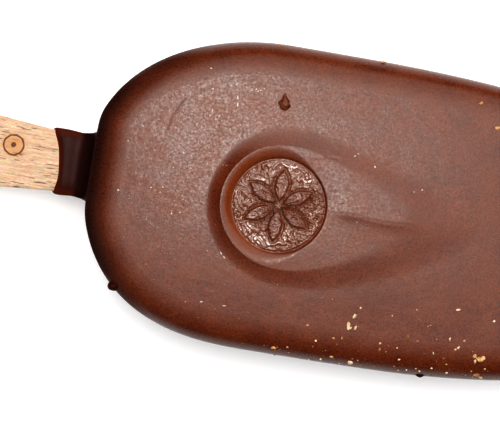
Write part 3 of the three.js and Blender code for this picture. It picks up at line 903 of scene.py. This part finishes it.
def vectorMath(tree, operation, inputs):
    return addNode(tree, "ShaderNodeVectorMath", inputs, operation=operation).outputs[0]


def remap(tree, value, low, high, newLow=0.0, newHigh=1.0):
    inputs = {"Value": value, "From Min": low, "From Max": high, "To Min": newLow, "To Max": newHigh}
    return addNode(tree, "ShaderNodeMapRange", inputs).outputs["Result"]


def mixColours(tree, factor, first, second, blend="MIX"):
    inputs = {0: factor, 6: first, 7: second}
    return addNode(tree, "ShaderNodeMix", inputs, data_type="RGBA", blend_type=blend).outputs[2]


def noise(tree, vector, scale, detail=2.0, roughness=0.5, output="Fac"):
    inputs = {"Vector": vector, "Scale": scale, "Detail": detail, "Roughness": roughness}
    return addNode(tree, "ShaderNodeTexNoise", inputs).outputs[output]


def bumpNormal(tree, height, strength, distance, **more):
    inputs = {"Height": height, "Strength": strength, "Distance": distance, **more}
    return addNode(tree, "ShaderNodeBump", inputs).outputs["Normal"]


def attributeValue(tree, name):
    return addNode(tree, "ShaderNodeAttribute", {}, attribute_name=name).outputs["Fac"]


# The object's own coordinates in millimetres
def ownPlace(tree):
    own = addNode(tree, "ShaderNodeTexCoord", {}).outputs["Object"]
    return vectorMath(tree, "SCALE", {0: own, "Scale": 1 / millimetre})


def newMaterial(name):
    material = bpy.data.materials.new(name)
    material.use_nodes = True
    tree = material.node_tree
    return material, tree, tree.nodes["Principled BSDF"]


# Chocolate: slow patches, a fine grain, and a colour between dark and pale from both. The
# colour is scaled by 1 + strength (grain - 0.5).
def makeChocolateGroup():
    group = bpy.data.node_groups.new("chocolateTint", "ShaderNodeTree")
    for way, kind, names in (
            ("INPUT", "Vector", ["Place"]), ("INPUT", "Color", ["Dark", "Pale"]),
            ("INPUT", "Float", ["Patch Size", "Grain Size", "Grain Strength"]),
            ("OUTPUT", "Color", ["Colour"]), ("OUTPUT", "Float", ["Patches", "Grain"])):
        for name in names:
            group.interface.new_socket(name=name, in_out=way, socket_type="NodeSocket" + kind)
    start = group.nodes.new("NodeGroupInput").outputs
    patchScale = calculate(group, "DIVIDE", 1.0, start["Patch Size"])
    grainScale = calculate(group, "DIVIDE", 1.0, start["Grain Size"])
    patches = remap(group, noise(group, start["Place"], patchScale, 3.0), 0.3, 0.7)
    grain = remap(group, noise(group, start["Place"], grainScale, 2.0, 0.6), 0.3, 0.7)
    tinted = mixColours(group, patches, start["Dark"], start["Pale"])
    swing = calculate(group, "MULTIPLY", calculate(group, "SUBTRACT", grain, 0.5), start["Grain Strength"])
    tinted = vectorMath(group, "SCALE", {0: tinted, "Scale": calculate(group, "ADD", 1.0, swing)})
    end = group.nodes.new("NodeGroupOutput")
    setInputs(group, end, {"Colour": tinted, "Patches": patches, "Grain": grain})
    return group


# The coating: chocolate with a painted warm glow where it is thin, and a rougher skin outside
# the seal. The edge with painted shade is darker, and shades as if it leaned back.
def coatingMaterial(group):
    material, tree, shader = newMaterial("chocolateCoating")
    place = ownPlace(tree)
    tint = addNode(tree, "ShaderNodeGroup", {
        "Place": place, "Dark": (0.088, 0.0175, 0.0055, 1), "Pale": (0.118, 0.027, 0.008, 1),
        "Patch Size": 5.0, "Grain Size": 0.26, "Grain Strength": 0.9,
    }, node_tree=group).outputs
    gloss = attributeValue(tree, "gloss")
    paintedEdgeShade = attributeValue(tree, "paintedEdgeShade")
    # Painted warm glow on the thin wall of the seal
    paintedWarmLight = calculate(tree, "MULTIPLY", attributeValue(tree, "paintedWarmLight"), 0.75)
    colour = mixColours(tree, paintedWarmLight, tint["Colour"], (0.21, 0.056, 0.016, 1))
    colour = mixColours(tree, calculate(tree, "MULTIPLY", gloss, 0.5), colour, (0.15, 0.045, 0.016, 1))
    # Painted shade on the edges at the stick's end and on the -Y side
    colour = mixColours(tree, paintedEdgeShade, colour, (0.026, 0.0055, 0.003, 1))
    rough = remap(tree, tint["Patches"], 0.0, 1.0, 0.29, 0.35)
    coarser = noise(tree, place, 2.6, 2.0, 0.6)
    rough = calculate(tree, "ADD", rough, remap(tree, coarser, 0.3, 0.7, -0.1, 0.1))
    rough = addNode(tree, "ShaderNodeMix", {0: gloss, 2: rough, 3: 0.1}).outputs[0]
    inSeal = calculate(tree, "MULTIPLY", gloss, calculate(tree, "MULTIPLY", tint["Grain"], 16.0))
    height = calculate(tree, "ADD", tint["Grain"], inSeal)
    facing = addNode(tree, "ShaderNodeNewGeometry", {}).outputs["Normal"]
    lift = addNode(tree, "ShaderNodeCombineXYZ", {"Z": remap(tree, paintedEdgeShade, 0.3, 1.0, 0.0, 0.85)}).outputs[0]
    facing = vectorMath(tree, "NORMALIZE", {0: vectorMath(tree, "ADD", {0: facing, 1: lift})})
    setInputs(tree, shader, {
        "Base Color": colour,
        "Roughness": rough,
        "Normal": bumpNormal(tree, height, 0.5, 0.00001, Normal=facing),
        "Coat Weight": calculate(tree, "MULTIPLY", gloss, 0.9),
        "Coat Roughness": 0.08,
        "Specular IOR Level": 0.31,
    })
    return material


# Smooth chocolate that ran and set: the collar, the beads and the crumb. It has a painted warm
# glow on the collar's thin edges and mouth, and painted shade in the collar's corner with the bar.
def setChocolateMaterial(group, name, dark, pale, paintedWarmLight, roughness, specular):
    material, tree, shader = newMaterial(name)
    tint = addNode(tree, "ShaderNodeGroup", {
        "Place": ownPlace(tree), "Dark": dark, "Pale": pale,
        "Patch Size": 1.5, "Grain Size": 0.25, "Grain Strength": 0.3,
    }, node_tree=group).outputs
    colour = mixColours(tree, attributeValue(tree, "paintedWarmLight"), tint["Colour"], paintedWarmLight)
    # Painted shade where the collar meets the bar
    paintedCornerShade = calculate(tree, "MULTIPLY", attributeValue(tree, "paintedCornerShade"), 0.8)
    setInputs(tree, shader, {
        "Base Color": mixColours(tree, paintedCornerShade, colour, (0.012, 0.0025, 0.0016, 1)),
        "Roughness": roughness,
        "Normal": bumpNormal(tree, tint["Patches"], 0.4, 0.00003),
        "Specular IOR Level": specular,
    })
    return material


# Pale wood: bands and fine lines stretched along the stick, short dark pores, and a plain
# burnt ring with a dot, scorched a little orange around it.
def woodMaterial():
    material, tree, shader = newMaterial("paleWood")
    place = ownPlace(tree)
    stretched = vectorMath(tree, "MULTIPLY", {0: place, 1: (0.09, 1.0, 1.0)})
    shorter = vectorMath(tree, "MULTIPLY", {0: place, 1: (0.55, 4.2, 4.2)})
    mottled = vectorMath(tree, "MULTIPLY", {0: place, 1: (0.5, 1.0, 1.0)})
    lines = noise(tree, stretched, 2.8, 4.0, 0.65)
    bands = noise(tree, stretched, 0.45, 2.0)
    pores = remap(tree, noise(tree, shorter, 1.0, 0.0), 0.69, 0.73)
    mottle = noise(tree, mottled, 4.2, 2.0, 0.6, "Color")
    lined = remap(tree, lines, 0.32, 0.68)
    colour = mixColours(tree, lined, (0.37, 0.225, 0.135, 1), (0.61, 0.47, 0.355, 1))
    colour = mixColours(tree, 0.6, colour, mottle, "OVERLAY")
    colour = mixColours(tree, remap(tree, bands, 0.35, 0.7, 0.0, 0.5), colour, (0.56, 0.36, 0.25, 1))
    colour = mixColours(tree, calculate(tree, "MULTIPLY", pores, 0.85), colour, (0.15, 0.085, 0.05, 1))

    fromDot = vectorMath(tree, "SUBTRACT", {0: place, 1: (stick["ringX"], stick["ringY"], 0.0)})
    fromDot = vectorMath(tree, "MULTIPLY", {0: fromDot, 1: (1.0, 1.0, 0.0)})
    radius = addNode(tree, "ShaderNodeVectorMath", {0: fromDot}, operation="LENGTH").outputs["Value"]
    ragged = remap(tree, noise(tree, place, 1.6, 2.0), 0.0, 1.0, -0.12, 0.12)
    radius = calculate(tree, "ADD", radius, ragged)
    fromRing = calculate(tree, "ABSOLUTE", calculate(tree, "SUBTRACT", radius, stick["ringRadius"]))
    ring = remap(tree, fromRing, 0.2, 0.08)
    dot = remap(tree, radius, stick["dotRadius"] + 0.15, stick["dotRadius"])
    up = addNode(tree, "ShaderNodeSeparateXYZ", {0: place}).outputs["Z"]
    onUpper = remap(tree, up, middle + 0.5, middle + 0.6)
    burnt = calculate(tree, "MULTIPLY", calculate(tree, "MAXIMUM", ring, dot), onUpper)
    scorched = calculate(tree, "MULTIPLY", remap(tree, radius, 2.6, 1.2, 0.0, 0.6), onUpper)
    colour = mixColours(tree, scorched, colour, (0.45, 0.20, 0.05, 1))
    colour = mixColours(tree, calculate(tree, "MULTIPLY", burnt, 0.9), colour, (0.07, 0.022, 0.010, 1))
    height = calculate(tree, "SUBTRACT", lines, calculate(tree, "ADD", pores, burnt))
    setInputs(tree, shader, {
        "Base Color": colour,
        "Roughness": 0.62,
        "Normal": bumpNormal(tree, height, 0.5, 0.00005),
        "Specular IOR Level": 0.25,
    })
    return material


# Nut: brown skin, orange and cream by each chip's tone, with a fine grain.
def nutMaterial():
    material, tree, shader = newMaterial("nut")
    grain = noise(tree, ownPlace(tree), 5.0, 2.0)
    tone = calculate(tree, "ADD", attributeValue(tree, "tone"), remap(tree, grain, 0.0, 1.0, -0.2, 0.2))
    ramp = addNode(tree, "ShaderNodeValToRGB", {"Fac": tone})
    stops = ramp.color_ramp.elements
    stops[0].position, stops[0].color = 0.05, (0.10, 0.030, 0.010, 1)
    stops[1].position, stops[1].color = 0.95, (0.60, 0.47, 0.33, 1)
    for position, colour in ((0.35, (0.30, 0.115, 0.03, 1)), (0.62, (0.46, 0.27, 0.11, 1))):
        stops.new(position).color = colour
    setInputs(tree, shader, {
        "Base Color": ramp.outputs["Color"],
        "Roughness": 0.4,
        "Normal": bumpNormal(tree, grain, 0.4, 0.00004),
    })
    return material


# Whitish frost, which also serves as painted glints
def frostAndGlintMaterial():
    material, tree, shader = newMaterial("frostAndGlints")
    speckled = noise(tree, ownPlace(tree), 6.0, 2.0)
    colour = mixColours(tree, speckled, (0.42, 0.35, 0.32, 1), (0.68, 0.61, 0.58, 1))
    setInputs(tree, shader, {"Base Color": colour, "Roughness": 0.3})
    return material


chocolateGroup = makeChocolateGroup()
makeCoating(coatingMaterial(chocolateGroup))
# A dark chocolate for the collar and the beads, its darkness partly painted shade: the collar lies beside
# the bar and the beads in shadow on the rim
darkChocolateWithPaintedShade = setChocolateMaterial(
    chocolateGroup, "darkChocolateWithPaintedShade", (0.028, 0.005, 0.0035, 1), (0.042, 0.008, 0.005, 1),
    (0.075, 0.014, 0.005, 1), 0.3, 0.045)
makeCollar(darkChocolateWithPaintedShade)
makeStick(woodMaterial())
print("coating, collar and stick made")

nutLook = nutMaterial()
makeNutBits(nutLook)
makeNutSpecks(nutLook)
makeFrostAndGlints(frostAndGlintMaterial())
makeCrumb(setChocolateMaterial(
    chocolateGroup, "chocolateCrumb", (0.07, 0.014, 0.004, 1), (0.14, 0.034, 0.008, 1),
    (0.14, 0.034, 0.008, 1), 0.38, 0.2))
makeBeads(darkChocolateWithPaintedShade)
print("nuts, frost, crumb and beads made")


# A pale floor, a large soft lamp high on the +Y side, a weaker one straight above and a faint
# one opposite, two small ones almost straight above for the sheen, and a dim room round them.
studio = {
    "floorHalf": 3000.0,
    "floorHeight": -0.02,     # just clear of the bar's flat back
    "floorColour": (0.86, 0.88, 0.91),
    "floorGlow": 0.2,         # like a light table, so that shadows stay pale
    "room": (0.8, 0.9, 1.0),
    "roomStrength": 0.03,
    "lampColour": (1.0, 0.97, 0.92),
}
# Each lamp's name, size and distance in metres, tilt from straight above and the way it
# lies, in degrees, and its radiance
lamps = [
    ("softLamp", 0.62, 0.47, 30.0, 59.6, 2.31),
    ("topLamp", 0.62, 0.47, 0.0, 0.0, 0.8),
    ("sheenLamp", 0.16, 0.62, 4.5, 125.0, 11.4),
    ("lowerSheenLamp", 0.16, 0.62, 9.0, 125.0, 8.0),
    ("fillLamp", 0.62, 0.47, 45.0, 234.6, 0.22),
]


# The floor, the lamps round the camera's axis and the room. A lamp's power is its radiance
# times pi times its area.
def makeStudio():
    half = studio["floorHalf"]
    corners = [(x, y, studio["floorHeight"]) for x, y in
               ((-half, -half), (half, -half), (half, half), (-half, half))]
    floor = newPiece("floor", corners, [(0, 1, 2, 3)])
    material, tree, shader = newMaterial("floor")
    setInputs(tree, shader, {
        "Base Color": (*studio["floorColour"], 1),
        "Roughness": 0.9,
        "Specular IOR Level": 0.1,
        "Emission Color": (*studio["floorColour"], 1),
        "Emission Strength": studio["floorGlow"],
    })
    floor.data.materials.append(material)

    for name, size, distance, tilt, towards, radiance in lamps:
        data = bpy.data.lights.new(name, "AREA")
        data.shape = "DISK"
        data.size = size
        data.color = studio["lampColour"]
        data.energy = radiance * math.pi * math.pi * (size / 2) ** 2
        lamp = addObject(name, data)
        tilt, towards = math.radians(tilt), math.radians(towards)
        aside = distance * math.sin(tilt)
        lamp.location = (
            camera["x"] * millimetre + aside * math.cos(towards),
            camera["y"] * millimetre + aside * math.sin(towards),
            distance * math.cos(tilt),
        )
        lamp.rotation_euler = (0, tilt, towards)

    world = bpy.data.worlds.new("room")
    world.use_nodes = True
    background = world.node_tree.nodes["Background"]
    background.inputs["Color"].default_value = (*studio["room"], 1)
    background.inputs["Strength"].default_value = studio["roomStrength"]
    bpy.context.scene.world = world
    bpy.context.scene.view_settings.view_transform = "Standard"
    bpy.context.scene.view_settings.look = "High Contrast"


# The camera looks straight down, turned so that the bar slopes down to the right.
camera = {
    "x": -20.55,
    "y": -2.50,
    "height": 333.0,
    "turn": math.radians(9.61),
    "lens": 141.5,
}


def makeCamera():
    data = bpy.data.cameras.new("camera")
    data.lens = camera["lens"]
    data.sensor_width = 36
    data.clip_start = 0.01
    viewer = addObject("camera", data)
    viewer.location = [camera[key] * millimetre for key in ("x", "y", "height")]
    viewer.rotation_euler = (0, 0, camera["turn"])
    bpy.context.scene.camera = viewer


makeStudio()
makeCamera()
print("studio and camera made")
